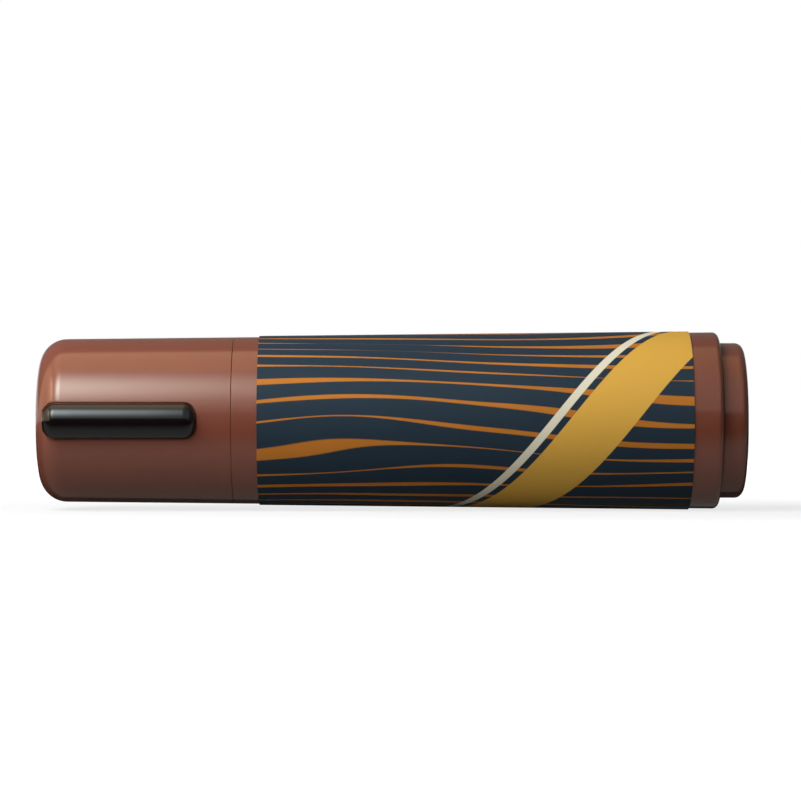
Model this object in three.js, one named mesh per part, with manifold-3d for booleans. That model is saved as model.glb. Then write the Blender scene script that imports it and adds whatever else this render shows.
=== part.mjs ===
// Furniture touch-up marker: a chisel felt nib fed by a fibre reservoir, a pull-off cap and a pocket clip.
// Millimetres. The origin is the centre of the rear end face, +X points out of the rear end along the
// marker's axis, +Z is up and the clip faces -Y. Each piece is drawn standing on its crown, with the axis
// along +Y, the rear end uppermost and the clip toward +X. The last group lays the marker down.
import * as THREE from "three";
import { mergeVertices } from "three/addons/utils/BufferGeometryUtils.js";
import loadManifold from "manifold-3d";

const manifold = await loadManifold();
manifold.setup();

// Lengths along the axis, in order from the rear end to the crown.
const PLUG_PROUD = 3.3;
const RIM_LENGTH = 4.3;
const LABEL_LENGTH = 61.4;
const COLLAR_LENGTH = 3.6;
const NECK_LENGTH = 7.5;
const FLANGE_THICKNESS = 1.2;
const CONE_LENGTH = 2.2;
const TUBE_LENGTH = 4.6;
const NIB_REACH = 5.5;
const NIB_HEADROOM = 4.2;
const INNER_CAP_END = 0.7;
const CROWN_THICKNESS = 1.35;

// Barrel, label and rear plug.
const BARREL_FRONT_RADIUS = 11.85;
const DRAFT_DEGREES = 0.6;
const BARREL_WALL = 1.65;
const BARREL_EDGE_ROUND = 1.2;
const SHOULDER_DEPTH = 2;
const NECK_WALL = 1.5;
const NECK_CHAMFER = 0.5;
const EDGE_BREAK = 0.2;
const LABEL_FILM = 0.12;
const PLUG_SEAT = 0.83;
const PLUG_EDGE_ROUND = 1.2;
const PLUG_WALL = 1.4;
const PLUG_END = 1.6;
const PLUG_SKIRT = 7.5;

// Ring groove on the neck and the low bead in the cap that drops into it.
const SNAP_FROM_COLLAR = 3;
const SNAP_WIDTH = 1.6;
const GROOVE_DEPTH = 0.25;
const BEAD_HEIGHT = 0.08;

// Reservoir, nib and nib holder.
const FILM_THICKNESS = 0.15;
const NIB_WIDTH = 5;
const NIB_THICKNESS = 4.2;
const NIB_CORNER = 0.8;
const NIB_TIP_THICKNESS = 2;
const NIB_BEVEL_LENGTH = 3.2;
const NIB_SLANT = 2.6;
const NIB_SINK = 8;
const TUBE_WALL = 2.6;
const TUBE_CHAMFER = 0.4;
const HOLDER_SKIRT = 6.5;
const HOLDER_WALL = 1.2;
const VENT_WIDTH = 1.2;
const VENT_DEPTH = 0.7;

// Cap and inner cap.
const CAP_WALL = 1.5;
const CROWN_ROUND = 3.8;
const CAVITY_ROUND = 2.2;
const MOUTH_CHAMFER = 0.3;
const LEDGE_HEIGHT = 0.5;
const LEDGE_WIDTH = 0.7;
const INNER_CAP_WALL = 1.3;
const INNER_CAP_CHAMFER = 0.6;
const HOLD_RING_THICKNESS = 0.8;
const SEAL_ROOM = 0.4;
const SEAL_LIP = 1;
const CUP_GAP = 0.8;

// Pocket clip and the trough that it lies in.
const CLIP_INSET = 1.5;
const CLIP_TO_MOUTH = 4.5;
const CLIP_WIDTH = 5;
const CLIP_CORNER = 2.1;
const CLIP_STAND = 1.75;
const CLIP_BACK_EASE = 0.4;
const CLIP_ROOT_ROUND = 1.5;
const CLIP_TIP_ROUND = 0.8;
const CLIP_ROOT_LENGTH = 6.2;
const CLIP_ARM_RISE = 0.1;
const CLIP_NUB_LENGTH = 1.6;
const CLIP_NUB_RAMP = 1;
const TROUGH_DEPTH = 0.6;
const TANG_FROM_CROWN = 5.2;
const TANG_LENGTH = 2.4;
const TANG_WIDTH = 3;
const TANG_DEPTH = 0.5;

// Clearances.
const FIT_CLEARANCE = 0.05;
const SEAL_CLEARANCE = 0.08;
const RUNNING_CLEARANCE = 0.15;
const FLEX_CLEARANCE = 0.25;
const SEAT_GAP = 0.3;
const CAP_SEAM = 0.2;
const CUT_OVERRUN = 1;

// Fineness of the round faces.
const TURN_STEPS = 48;
const ARC_STEPS = 3;

// Places along the axis: the rear end face is zero and the crown is the lowest value.
const barrelRear = -PLUG_PROUD;
const labelRear = barrelRear - RIM_LENGTH;
const labelFront = labelRear - LABEL_LENGTH;
const collarFront = labelFront - COLLAR_LENGTH;
const neckFront = collarFront - NECK_LENGTH;
const flangeFront = neckFront - FLANGE_THICKNESS;
const coneFront = flangeFront - CONE_LENGTH;
const tubeFront = coneFront - TUBE_LENGTH;
const nibTip = tubeFront - NIB_REACH;
const innerCapFloor = nibTip - NIB_HEADROOM;
const innerCapFront = innerCapFloor - INNER_CAP_END;
const crownInside = innerCapFront - RUNNING_CLEARANCE;
const crownFront = crownInside - CROWN_THICKNESS;
const capMouth = collarFront - CAP_SEAM;
const boreFront = collarFront + SHOULDER_DEPTH;
const snapMiddle = collarFront - SNAP_FROM_COLLAR;
const plugSkirtFront = barrelRear - PLUG_SKIRT;
const reservoirFront = boreFront + FIT_CLEARANCE;
const reservoirRear = plugSkirtFront - FIT_CLEARANCE;
const nibRear = reservoirFront + NIB_SINK;
const clipFront = crownFront + CLIP_INSET;
const clipTip = capMouth - CLIP_TO_MOUTH;
const tangMiddle = crownFront + TANG_FROM_CROWN;
const slotRear = tangMiddle + TANG_LENGTH / 2 + FLEX_CLEARANCE;
const holdRingFront = slotRear + FLEX_CLEARANCE;
const holdRingRear = holdRingFront + HOLD_RING_THICKNESS;

// Radii that follow from the driving sizes.
const draft = Math.tan(THREE.MathUtils.degToRad(DRAFT_DEGREES));
const barrelRadius = (place) => BARREL_FRONT_RADIUS + (place - collarFront) * draft;
const capRadius = (place) => BARREL_FRONT_RADIUS - (capMouth - place) * draft;
const boreRadius = BARREL_FRONT_RADIUS - BARREL_WALL;
const capBore = BARREL_FRONT_RADIUS - CAP_WALL;
const neckRadius = capBore - RUNNING_CLEARANCE;
const neckBore = neckRadius - NECK_WALL;
const crownCorner = new THREE.Vector2(
  capRadius(crownFront + CROWN_ROUND) - CROWN_ROUND,
  crownFront + CROWN_ROUND,
);
const cavityRadius = capRadius(crownCorner.y) - CAP_WALL;
const filmRadius = boreRadius - RUNNING_CLEARANCE;
const fibreRadius = filmRadius - FILM_THICKNESS - FIT_CLEARANCE;
const tubeRadius = Math.hypot(NIB_WIDTH, NIB_THICKNESS) / 2 + TUBE_WALL;

// Outlines and solids.
const QUARTER_TURN = Math.PI / 2;

function revolve(outline) {
  const points = outline.getPoints(ARC_STEPS);
  if (THREE.ShapeUtils.isClockWise(points)) {
    points.reverse();
  }
  return new THREE.LatheGeometry(points, TURN_STEPS, Math.PI / TURN_STEPS);
}

function polyline(corners) {
  const path = new THREE.Path();
  path.moveTo(...corners[0]);
  corners.slice(1).forEach((corner) => path.lineTo(...corner));
  return path;
}

function ring(corners) {
  const path = polyline(corners);
  path.closePath();
  return path;
}

function roundedRectangle(width, bottom, top, corner) {
  const half = width / 2;
  const shape = new THREE.Shape();
  shape.moveTo(half - corner, bottom);
  shape.absarc(half - corner, bottom + corner, corner, -QUARTER_TURN, 0, false);
  shape.absarc(half - corner, top - corner, corner, 0, QUARTER_TURN, false);
  shape.absarc(corner - half, top - corner, corner, QUARTER_TURN, 2 * QUARTER_TURN, false);
  shape.absarc(corner - half, bottom + corner, corner, 2 * QUARTER_TURN, 3 * QUARTER_TURN, false);
  return shape;
}

// Extrudes an outline drawn in X and Y along Z, in Z and Y along X, or in X and Z along Y.
function extrude(shape, direction, from, to) {
  const settings = { depth: to - from, bevelEnabled: false, curveSegments: 2 * ARC_STEPS };
  const geometry = new THREE.ExtrudeGeometry(shape, settings);
  if (direction === "z") {
    return geometry.translate(0, 0, from);
  }
  geometry.translate(0, 0, -to);
  return direction === "x" ? geometry.rotateY(-QUARTER_TURN) : geometry.rotateX(QUARTER_TURN);
}

function toSolid(geometry) {
  const bare = geometry.clone();
  bare.deleteAttribute("normal");
  bare.deleteAttribute("uv");
  const merged = mergeVertices(bare, 1e-4);
  const mesh = new manifold.Mesh({
    numProp: 3,
    vertProperties: new Float32Array(merged.attributes.position.array),
    triVerts: new Uint32Array(merged.index.array),
  });
  return new manifold.Manifold(mesh);
}

function toGeometry(solid) {
  const mesh = solid.getMesh();
  const geometry = new THREE.BufferGeometry();
  geometry.setAttribute("position", new THREE.BufferAttribute(mesh.vertProperties, 3));
  geometry.setIndex(new THREE.BufferAttribute(mesh.triVerts, 1));
  geometry.computeVertexNormals();
  return geometry;
}

function piece(name, geometry, color, roughness) {
  const material = new THREE.MeshStandardMaterial({ color, roughness, metalness: 0 });
  const mesh = new THREE.Mesh(geometry, material);
  mesh.name = name;
  return mesh;
}

// Barrel: neck with its snap groove, collar, drafted body with a rounded rear edge, and a straight bore.
function barrel() {
  const rearEdge = barrelRear - BARREL_EDGE_ROUND;
  const edgeRadius = barrelRadius(rearEdge);
  const outline = polyline([
    [neckBore, neckFront],
    [neckRadius - NECK_CHAMFER, neckFront],
    [neckRadius, neckFront + NECK_CHAMFER],
    [neckRadius, snapMiddle - SNAP_WIDTH / 2],
    [neckRadius - GROOVE_DEPTH, snapMiddle - SNAP_WIDTH / 4],
    [neckRadius - GROOVE_DEPTH, snapMiddle + SNAP_WIDTH / 4],
    [neckRadius, snapMiddle + SNAP_WIDTH / 2],
    [neckRadius, collarFront],
    [BARREL_FRONT_RADIUS - EDGE_BREAK, collarFront],
    [BARREL_FRONT_RADIUS, collarFront + EDGE_BREAK],
    [edgeRadius, rearEdge],
  ]);
  outline.absarc(edgeRadius - BARREL_EDGE_ROUND, rearEdge, BARREL_EDGE_ROUND, 0, QUARTER_TURN, false);
  outline.lineTo(boreRadius, barrelRear);
  outline.lineTo(boreRadius, boreFront);
  outline.lineTo(neckBore, boreFront);
  outline.closePath();
  return piece("barrel", revolve(outline), 0x7c4232, 0.35);
}

// Label: a film sleeve on the drafted body between collar and rim.
function labelSleeve() {
  const inside = FIT_CLEARANCE;
  const outside = FIT_CLEARANCE + LABEL_FILM;
  const outline = ring([
    [barrelRadius(labelFront) + inside, labelFront],
    [barrelRadius(labelFront) + outside, labelFront],
    [barrelRadius(labelRear) + outside, labelRear],
    [barrelRadius(labelRear) + inside, labelRear],
  ]);
  return piece("label_sleeve", revolve(outline), 0x2a3742, 0.3);
}

// Rear plug: a cup pressed in the bore, whose head seats on the barrel's rear face.
function rearPlug() {
  const skirtRadius = boreRadius - FIT_CLEARANCE;
  const headRadius = boreRadius + PLUG_SEAT;
  const headFront = barrelRear + FIT_CLEARANCE;
  const outline = polyline([
    [0, -PLUG_END],
    [skirtRadius - PLUG_WALL, -PLUG_END],
    [skirtRadius - PLUG_WALL, plugSkirtFront],
    [skirtRadius - EDGE_BREAK, plugSkirtFront],
    [skirtRadius, plugSkirtFront + EDGE_BREAK],
    [skirtRadius, headFront],
    [headRadius, headFront],
    [headRadius, -PLUG_EDGE_ROUND],
  ]);
  const roundMiddle = headRadius - PLUG_EDGE_ROUND;
  outline.absarc(roundMiddle, -PLUG_EDGE_ROUND, PLUG_EDGE_ROUND, 0, QUARTER_TURN, false);
  outline.lineTo(0, 0);
  return piece("rear_plug", revolve(outline), 0x7c4232, 0.35);
}

// Nib: a felt bar carved from its section, its slanted side view and its bevelled top view.
function nibSection(clearance) {
  const half = NIB_WIDTH / 2 + clearance;
  return roundedRectangle(NIB_THICKNESS + 2 * clearance, -half, half, NIB_CORNER);
}

function nib() {
  const halfWidth = NIB_WIDTH / 2;
  const halfThickness = NIB_THICKNESS / 2;
  const halfTip = NIB_TIP_THICKNESS / 2;
  const side = new THREE.Shape();
  side.moveTo(-halfWidth - CUT_OVERRUN, nibRear + CUT_OVERRUN);
  side.lineTo(-halfWidth - CUT_OVERRUN, nibTip + NIB_SLANT);
  side.lineTo(-halfWidth, nibTip + NIB_SLANT);
  side.lineTo(halfWidth, nibTip);
  side.lineTo(halfWidth + CUT_OVERRUN, nibTip);
  side.lineTo(halfWidth + CUT_OVERRUN, nibRear + CUT_OVERRUN);
  const top = new THREE.Shape();
  top.moveTo(-halfThickness, nibTip + NIB_BEVEL_LENGTH);
  top.lineTo(-halfTip, nibTip);
  top.lineTo(halfTip, nibTip);
  top.lineTo(halfThickness, nibTip + NIB_BEVEL_LENGTH);
  top.lineTo(halfThickness + CUT_OVERRUN, nibTip + NIB_BEVEL_LENGTH);
  top.lineTo(halfThickness + CUT_OVERRUN, nibRear + CUT_OVERRUN);
  top.lineTo(-halfThickness - CUT_OVERRUN, nibRear + CUT_OVERRUN);
  top.lineTo(-halfThickness - CUT_OVERRUN, nibTip + NIB_BEVEL_LENGTH);
  const bar = toSolid(extrude(nibSection(0), "y", nibTip, nibRear));
  const slanted = toSolid(extrude(side, "x", -NIB_THICKNESS, NIB_THICKNESS));
  const bevelled = toSolid(extrude(top, "z", -NIB_WIDTH, NIB_WIDTH));
  return piece("nib", toGeometry(bar.intersect(slanted).intersect(bevelled)), 0x6b3a22, 0.9);
}

// Nib holder: skirt in the neck, flange on its front edge, cone and nib tube, with two vent channels.
function nibHolder() {
  const skirtRadius = neckBore - FIT_CLEARANCE;
  const flangeRadius = neckRadius - NECK_CHAMFER;
  const flangeRear = neckFront - FIT_CLEARANCE;
  const skirtRear = neckFront + HOLDER_SKIRT;
  const outline = polyline([
    [0, tubeFront],
    [tubeRadius - TUBE_CHAMFER, tubeFront],
    [tubeRadius, tubeFront + TUBE_CHAMFER],
    [tubeRadius, coneFront],
    [flangeRadius, flangeFront],
    [flangeRadius, flangeRear],
    [skirtRadius, flangeRear],
    [skirtRadius, skirtRear],
    [skirtRadius - HOLDER_WALL, skirtRear],
    [skirtRadius - HOLDER_WALL, neckFront],
    [0, neckFront],
  ]);
  const cutFrom = tubeFront - CUT_OVERRUN;
  const cutTo = neckFront + CUT_OVERRUN;
  const ventReach = NIB_THICKNESS / 2 + FIT_CLEARANCE + VENT_DEPTH;
  const vents = roundedRectangle(2 * ventReach, -VENT_WIDTH / 2, VENT_WIDTH / 2, VENT_WIDTH / 4);
  const solid = toSolid(revolve(outline))
    .subtract(toSolid(extrude(nibSection(FIT_CLEARANCE), "y", cutFrom, cutTo)))
    .subtract(toSolid(extrude(vents, "y", cutFrom, cutTo)));
  return piece("nib_holder", toGeometry(solid), 0xe6e2d8, 0.45);
}

// Reservoir: a fibre core with a pocket for the nib, wrapped in a film.
function inkReservoir() {
  const outline = polyline([
    [0, reservoirFront],
    [fibreRadius, reservoirFront],
    [fibreRadius, reservoirRear],
    [0, reservoirRear],
  ]);
  const pocketFrom = reservoirFront - CUT_OVERRUN;
  const pocket = extrude(nibSection(FIT_CLEARANCE), "y", pocketFrom, nibRear + FIT_CLEARANCE);
  const solid = toSolid(revolve(outline)).subtract(toSolid(pocket));
  return piece("ink_reservoir", toGeometry(solid), 0x8a5a3c, 0.95);
}

function reservoirFilm() {
  const outline = ring([
    [filmRadius - FILM_THICKNESS, reservoirFront],
    [filmRadius, reservoirFront],
    [filmRadius, reservoirRear],
    [filmRadius - FILM_THICKNESS, reservoirRear],
  ]);
  return piece("reservoir_film", revolve(outline), 0xdfe3e6, 0.2);
}

// Inner cap: a soft cup that closes over the nib tube, with a ring that the cap's ledge holds.
function innerCap() {
  const ringRadius = cavityRadius - RUNNING_CLEARANCE;
  const cupBore = tubeRadius + SEAL_ROOM;
  const cupRadius = cupBore + INNER_CAP_WALL;
  const cupMouth = coneFront - CUP_GAP;
  const lipRadius = tubeRadius + SEAL_CLEARANCE;
  const outline = polyline([
    [0, innerCapFront],
    [cupRadius - INNER_CAP_CHAMFER, innerCapFront],
    [cupRadius, innerCapFront + INNER_CAP_CHAMFER],
    [cupRadius, holdRingFront],
    [ringRadius, holdRingFront],
    [ringRadius, holdRingRear],
    [cupRadius, holdRingRear],
    [cupRadius, cupMouth],
    [cupBore, cupMouth],
    [lipRadius, cupMouth - SEAL_LIP / 2],
    [lipRadius, cupMouth - SEAL_LIP],
    [cupBore, cupMouth - 1.5 * SEAL_LIP],
    [cupBore, innerCapFloor],
    [0, innerCapFloor],
  ]);
  return piece("inner_cap", revolve(outline), 0xe9e8e2, 0.4);
}

// Cap: outer surface from the crown to the mouth, or a surface that lies deeper by the inset.
function capOutside(inset) {
  const outline = polyline([
    [0, crownFront + inset],
    [crownCorner.x, crownFront + inset],
  ]);
  outline.absarc(crownCorner.x, crownCorner.y, CROWN_ROUND - inset, -QUARTER_TURN, 0, false);
  return outline;
}

function clipPlan(margin) {
  const width = CLIP_WIDTH + 2 * margin;
  return roundedRectangle(width, clipFront - margin, clipTip + margin, CLIP_CORNER + margin);
}

// The trough takes the clip's plan out of the cap down to a floor that follows the cap's own surface.
function clipTrough() {
  const floor = capOutside(TROUGH_DEPTH);
  floor.lineTo(BARREL_FRONT_RADIUS - TROUGH_DEPTH, capMouth);
  floor.lineTo(0, capMouth);
  const reach = BARREL_FRONT_RADIUS + CLIP_STAND;
  const well = toSolid(extrude(clipPlan(FLEX_CLEARANCE), "x", 0, reach));
  return well.subtract(toSolid(revolve(floor)));
}

function tangBlock(clearance, from, to) {
  const halfLength = TANG_LENGTH / 2 + clearance;
  const width = TANG_WIDTH + 2 * clearance;
  const block = new THREE.BoxGeometry(to - from, 2 * halfLength, width);
  block.translate((from + to) / 2, tangMiddle, 0);
  return toSolid(block);
}

const tangFoot = cavityRadius - TANG_DEPTH;

function capShell() {
  const ledgeFront = holdRingRear + RUNNING_CLEARANCE;
  const outline = capOutside(0);
  const mouthToCrown = [
    [capRadius(capMouth - EDGE_BREAK), capMouth - EDGE_BREAK],
    [BARREL_FRONT_RADIUS - EDGE_BREAK, capMouth],
    [capBore + MOUTH_CHAMFER, capMouth],
    [capBore, capMouth - MOUTH_CHAMFER],
    [capBore, snapMiddle + SNAP_WIDTH / 4],
    [capBore - BEAD_HEIGHT, snapMiddle],
    [capBore, snapMiddle - SNAP_WIDTH / 4],
    [capBore, neckFront],
    [cavityRadius, flangeFront],
    [cavityRadius, ledgeFront + LEDGE_WIDTH],
    [cavityRadius - LEDGE_HEIGHT, ledgeFront],
    [cavityRadius, ledgeFront],
  ];
  mouthToCrown.forEach((corner) => outline.lineTo(...corner));
  const roundMiddle = new THREE.Vector2(cavityRadius - CAVITY_ROUND, crownInside + CAVITY_ROUND);
  outline.absarc(roundMiddle.x, roundMiddle.y, CAVITY_ROUND, 0, -QUARTER_TURN, true);
  outline.lineTo(0, crownInside);
  const solid = toSolid(revolve(outline))
    .subtract(clipTrough())
    .subtract(tangBlock(FLEX_CLEARANCE, tangFoot - CUT_OVERRUN, BARREL_FRONT_RADIUS));
  return piece("cap_shell", toGeometry(solid), 0x7c4232, 0.35);
}

// Clip: an arm with a rounded back and a grip nub, on a root with a tang through the cap's wall.
function clip() {
  const back = capRadius(clipTip) + CLIP_STAND;
  const underside = TROUGH_DEPTH - SEAT_GAP;
  const seatRadius = CROWN_ROUND - underside;
  const frontAngle = Math.asin((clipFront - crownCorner.y) / seatRadius);
  const rootRear = clipFront + CLIP_ROOT_LENGTH;
  const nubRear = clipTip - CLIP_TIP_ROUND;
  const nubFront = nubRear - CLIP_NUB_LENGTH;
  const armFrom = rootRear + CLIP_NUB_RAMP;
  const armTo = nubFront - CLIP_NUB_RAMP;
  const side = new THREE.Shape();
  side.absarc(crownCorner.x, crownCorner.y, seatRadius, frontAngle, 0, false);
  side.lineTo(capRadius(rootRear) - underside, rootRear);
  side.lineTo(capRadius(armFrom) + CLIP_ARM_RISE, armFrom);
  side.lineTo(capRadius(armTo) + CLIP_ARM_RISE, armTo);
  side.lineTo(capRadius(nubFront) - underside, nubFront);
  side.lineTo(capRadius(nubRear) - underside, nubRear);
  side.lineTo(capRadius(clipTip) + CLIP_ARM_RISE, clipTip);
  side.absarc(back - CLIP_TIP_ROUND, clipTip - CLIP_TIP_ROUND, CLIP_TIP_ROUND, QUARTER_TURN, 0, true);
  side.absarc(back - CLIP_ROOT_ROUND, clipFront + CLIP_ROOT_ROUND, CLIP_ROOT_ROUND, 0, -QUARTER_TURN, true);
  const halfWidth = CLIP_WIDTH / 2;
  const backRadius = halfWidth + CLIP_BACK_EASE;
  const sideAngle = Math.asin(halfWidth / backRadius);
  const section = new THREE.Shape();
  section.moveTo(0, halfWidth);
  section.lineTo(0, -halfWidth);
  section.absarc(back - backRadius, 0, backRadius, -sideAngle, sideAngle, false);
  const plan = toSolid(extrude(clipPlan(0), "x", 0, back + CUT_OVERRUN));
  const profile = toSolid(extrude(side, "z", -CLIP_WIDTH, CLIP_WIDTH));
  const rounded = toSolid(extrude(section, "y", crownFront, capMouth));
  const bar = plan.intersect(profile).intersect(rounded);
  const tangTop = capRadius(tangMiddle) + CLIP_STAND / 2;
  const solid = bar.add(tangBlock(0, tangFoot, tangTop));
  return piece("clip", toGeometry(solid), 0x171516, 0.3);
}

const capAssembly = new THREE.Group();
capAssembly.add(capShell(), clip(), innerCap());

const body = new THREE.Group();
body.add(barrel(), labelSleeve(), rearPlug(), nibHolder(), nib(), inkReservoir(), reservoirFilm());

const marker = new THREE.Group();
marker.add(body, capAssembly);
marker.rotation.z = -QUARTER_TURN;

const part = new THREE.Group();
part.add(marker);

export default part;
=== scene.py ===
"""Looks of the furniture touch-up marker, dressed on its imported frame.

The marker lies along X, its cap toward -X, its clip toward -Y and +Z up. Sizes in the classes are
millimetres, places along the axis are read from the frame, and every mesh is in metres.
"""

import logging
import math
from contextlib import contextmanager
from dataclasses import dataclass
from enum import Enum
from typing import Callable, Iterator, Mapping, Sequence, Union

import bmesh
import bpy
from mathutils import Matrix, Vector


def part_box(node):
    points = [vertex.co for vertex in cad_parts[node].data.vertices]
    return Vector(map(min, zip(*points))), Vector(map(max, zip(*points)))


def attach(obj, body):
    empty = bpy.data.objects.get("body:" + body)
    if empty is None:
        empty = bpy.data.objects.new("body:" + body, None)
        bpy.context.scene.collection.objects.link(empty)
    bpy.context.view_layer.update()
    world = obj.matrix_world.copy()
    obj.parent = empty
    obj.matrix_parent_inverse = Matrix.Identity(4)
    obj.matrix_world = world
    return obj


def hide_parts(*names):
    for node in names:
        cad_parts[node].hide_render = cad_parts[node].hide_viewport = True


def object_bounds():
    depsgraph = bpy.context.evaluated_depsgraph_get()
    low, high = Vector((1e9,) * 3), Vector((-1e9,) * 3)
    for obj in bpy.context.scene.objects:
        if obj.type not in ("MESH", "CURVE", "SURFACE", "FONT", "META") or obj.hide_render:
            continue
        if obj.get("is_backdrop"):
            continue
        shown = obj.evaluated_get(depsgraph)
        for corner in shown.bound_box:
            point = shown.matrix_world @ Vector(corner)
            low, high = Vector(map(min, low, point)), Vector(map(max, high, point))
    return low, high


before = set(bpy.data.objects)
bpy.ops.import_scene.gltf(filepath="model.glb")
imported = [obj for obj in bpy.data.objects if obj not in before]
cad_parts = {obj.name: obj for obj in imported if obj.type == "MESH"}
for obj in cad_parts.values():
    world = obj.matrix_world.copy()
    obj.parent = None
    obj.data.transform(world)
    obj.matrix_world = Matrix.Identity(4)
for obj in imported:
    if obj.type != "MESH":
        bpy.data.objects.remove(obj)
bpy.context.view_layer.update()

LOG = logging.getLogger("marker")
MM = 0.001
PHOTO_WIDTH = 801
# Segments of a full turn.
FINE_TURN = 160
SOFT_EDGE_DEGREES = 35.0
ARC_STEP_DEGREES = 7
MERGE_MM = 0.002
SLAB_SEGMENTS = 14
# How far large faces lead the shading of their edges.
FLAT_WEIGHT = 80
# Share of a length along an axis above which it counts as parallel to it.
ALIGNED = 0.99
DRAFT = math.tan(math.radians(0.6))
# How far the modelled cap reaches past its solid toward the collar, in millimetres.
MOUTH_REACH = 0.36
SUM = "ShaderNodeMath"
VECTOR_SUM = "ShaderNodeVectorMath"

Colour = tuple[float, float, float, float]
Piece = bpy.types.Object
Socket = bpy.types.NodeSocket
Source = Union[float, int, Sequence[float], Socket]
Inputs = Mapping[Union[str, int], Source]
Outputs = Mapping[Union[str, int], Socket]


class Cut(Enum):
    """How a tool piece acts on a work piece."""

    AWAY = "DIFFERENCE"
    JOIN = "UNION"


class Element(Enum):
    """Kinds of mesh element that can be picked in edit mode."""

    POINT = "VERT"
    EDGE = "EDGE"
    FACE = "FACE"


@dataclass(frozen=True)
class Corner:
    """A corner of a turned outline: place along the axis, radius and rounding, in millimetres."""

    place: float
    radius: float
    rounding: float = 0.0


@dataclass(frozen=True)
class Stations:
    """Places along the marker's axis in millimetres, read from the frame."""

    crown: float
    cap_mouth: float
    neck_front: float
    label_front: float
    label_rear: float
    barrel_rear: float
    plug_front: float
    tube_front: float
    holder_rear: float
    cup_end: float
    cup_mouth: float
    clip_root: float
    clip_tip: float

    @classmethod
    def from_frame(cls) -> "Stations":
        """Reads the places from the boxes of the CAD nodes.

        Returns:
            The stations, in millimetres from the rear end face.
        """
        ends = {name: [corner.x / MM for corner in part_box(name)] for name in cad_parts}
        return cls(
            crown=ends["cap_shell"][0],
            cap_mouth=ends["cap_shell"][1] + MOUTH_REACH,
            neck_front=ends["barrel"][0],
            label_front=ends["label_sleeve"][0],
            label_rear=ends["label_sleeve"][1],
            barrel_rear=ends["barrel"][1],
            plug_front=ends["rear_plug"][0],
            tube_front=ends["nib_holder"][0],
            holder_rear=ends["nib_holder"][1],
            cup_end=ends["inner_cap"][0],
            cup_mouth=ends["inner_cap"][1],
            clip_root=ends["clip"][0],
            clip_tip=ends["clip"][1],
        )


def srgb(code: str) -> Colour:
    """Turns an sRGB hex colour to linear light.

    Args:
        code: Six hex digits.

    Returns:
        Linear red, green, blue and a full alpha.
    """
    levels = [int(code[place:place + 2], 16) / 255 for place in (0, 2, 4)]
    red, green, blue = [v / 12.92 if v <= 0.04045 else ((v + 0.055) / 1.055) ** 2.4 for v in levels]
    return red, green, blue, 1.0


def add_node(tree: bpy.types.NodeTree, kind: str, inputs: Inputs, **settings: object) -> Outputs:
    """Adds a shader node with its settings, its values and its links.

    Args:
        tree: The node tree that takes the node.
        kind: The node's type name.
        inputs: A value or an output socket for each input.
        **settings: Attributes of the node.

    Returns:
        The new node's outputs.
    """
    made = tree.nodes.new(kind)
    for name, value in settings.items():
        setattr(made, name, value)
    for name, value in inputs.items():
        if isinstance(value, Socket):
            tree.links.new(value, made.inputs[name])
        else:
            made.inputs[name].default_value = value
    return made.outputs


def blank_material(name: str) -> bpy.types.Material:
    """Starts a material with an empty node tree.

    Args:
        name: The material's name.

    Returns:
        The new material.
    """
    made = bpy.data.materials.new(name)
    made.use_nodes = True
    made.node_tree.nodes.clear()
    return made


def focus(piece: Piece) -> None:
    """Makes a piece the active object and the only one selected.

    Args:
        piece: The object to work on.
    """
    bpy.ops.object.select_all(action="DESELECT")
    piece.select_set(True)
    bpy.context.view_layer.objects.active = piece


def begin(name: str, operator: Callable[..., object], **settings: object) -> Piece:
    """Adds an object with nothing else selected.

    Args:
        name: The new object's name.
        operator: The operator that adds it.
        **settings: The operator's values.

    Returns:
        The new object.
    """
    bpy.ops.object.select_all(action="DESELECT")
    operator(**settings)
    made = bpy.context.object
    made.name = name
    return made


@contextmanager
def editing(piece: Piece, element: Element = Element.POINT) -> Iterator[None]:
    """Opens a piece in edit mode with nothing else selected and closes it again.

    Args:
        piece: The mesh object to edit.
        element: The kind of element that selection works on.
    """
    focus(piece)
    bpy.ops.object.mode_set(mode="EDIT")
    bpy.ops.mesh.select_mode(type=element.value)
    yield
    bpy.ops.object.mode_set(mode="OBJECT")


def pick(piece: Piece, element: Element, test: Callable[[object], bool]) -> int:
    """Selects the elements of an open mesh that pass a test and no others.

    Args:
        piece: A mesh object in edit mode.
        element: The kind of element to pick.
        test: Says of each element whether it is picked.

    Returns:
        How many were picked.
    """
    bpy.ops.mesh.select_all(action="DESELECT")
    mesh = bmesh.from_edit_mesh(piece.data)
    groups = {Element.POINT: mesh.verts, Element.EDGE: mesh.edges, Element.FACE: mesh.faces}
    chosen = [item for item in groups[element] if test(item)]
    for item in chosen:
        item.select_set(True)
    mesh.select_flush_mode()
    bmesh.update_edit_mesh(piece.data)
    return len(chosen)


def settle(piece: Piece) -> None:
    """Moves a piece's place, turn and scale into its mesh."""
    focus(piece)
    bpy.ops.object.transform_apply(location=True, rotation=True, scale=True)


def apply_modifier(piece: Piece, kind: str, **settings: object) -> None:
    """Adds a modifier with its settings and applies it.

    Args:
        piece: The object to change.
        kind: The modifier's type name.
        **settings: Attributes of the modifier.
    """
    modifier = piece.modifiers.new(kind.lower(), kind)
    for name, value in settings.items():
        setattr(modifier, name, value)
    focus(piece)
    bpy.ops.object.modifier_apply(modifier=modifier.name)


def work(piece: Piece, tool: Piece, how: Cut) -> None:
    """Cuts a tool piece away from a work piece, or joins it on, and removes the tool."""
    apply_modifier(piece, "BOOLEAN", object=tool, operation=how.value, solver="EXACT")
    bpy.data.objects.remove(tool)


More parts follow.
